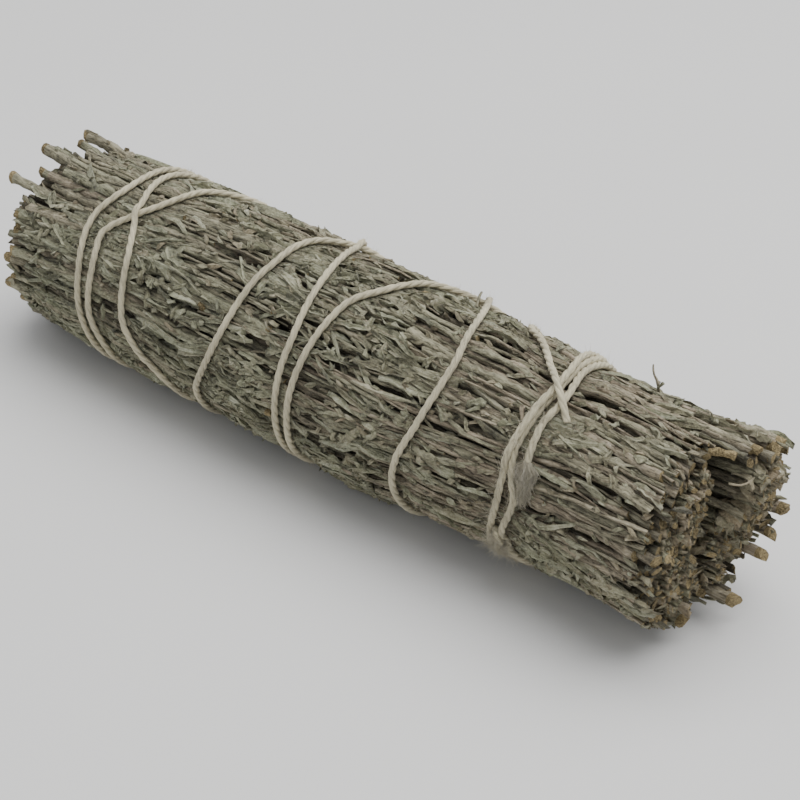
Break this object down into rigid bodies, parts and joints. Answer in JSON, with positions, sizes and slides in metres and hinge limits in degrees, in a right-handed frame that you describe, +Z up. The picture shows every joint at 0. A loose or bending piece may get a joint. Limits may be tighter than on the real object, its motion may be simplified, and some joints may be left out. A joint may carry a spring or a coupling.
{
  "type": "sage smudge stick",
  "caption": "Bundle of dried, leafy sagebrush sprigs lying on its side, packed into a stick and bound with cotton string in rings and crossed diagonals, with cut stems at both ends.",
  "frame": {"origin": "under the middle of the stick, on the surface it lies on", "axes": "+X along the stick towards its neatly cut butt end, +Y towards the back, +Z up"},
  "size_m": [0.194, 0.0454, 0.0447],
  "materials": {
    "leafy_sprig": "matte",
    "woody_stem": "matte",
    "cotton_string": "matte"
  },
  "bodies": {
    "root": {"sprig_outer_01": "leafy_sprig", "sprig_outer_02": "leafy_sprig", "sprig_outer_03": "leafy_sprig", "sprig_outer_04": "leafy_sprig", "sprig_outer_05": "leafy_sprig", "sprig_outer_06": "leafy_sprig", "sprig_outer_07": "leafy_sprig", "sprig_outer_08": "leafy_sprig", "sprig_outer_09": "leafy_sprig", "sprig_outer_10": "leafy_sprig", "sprig_outer_11": "leafy_sprig", "sprig_outer_12": "leafy_sprig", "sprig_outer_13": "leafy_sprig", "sprig_outer_14": "leafy_sprig", "sprig_outer_15": "leafy_sprig", "sprig_outer_16": "leafy_sprig", "stems_inner_01": "woody_stem", "stems_inner_02": "woody_stem", "stems_inner_03": "woody_stem", "stems_inner_04": "woody_stem", "stems_inner_05": "woody_stem", "stems_inner_06": "woody_stem", "stems_core_01": "woody_stem", "stems_core_02": "woody_stem", "stems_core_03": "woody_stem", "stems_core_04": "woody_stem", "string": "cotton_string"}
  },
  "joints": []
}
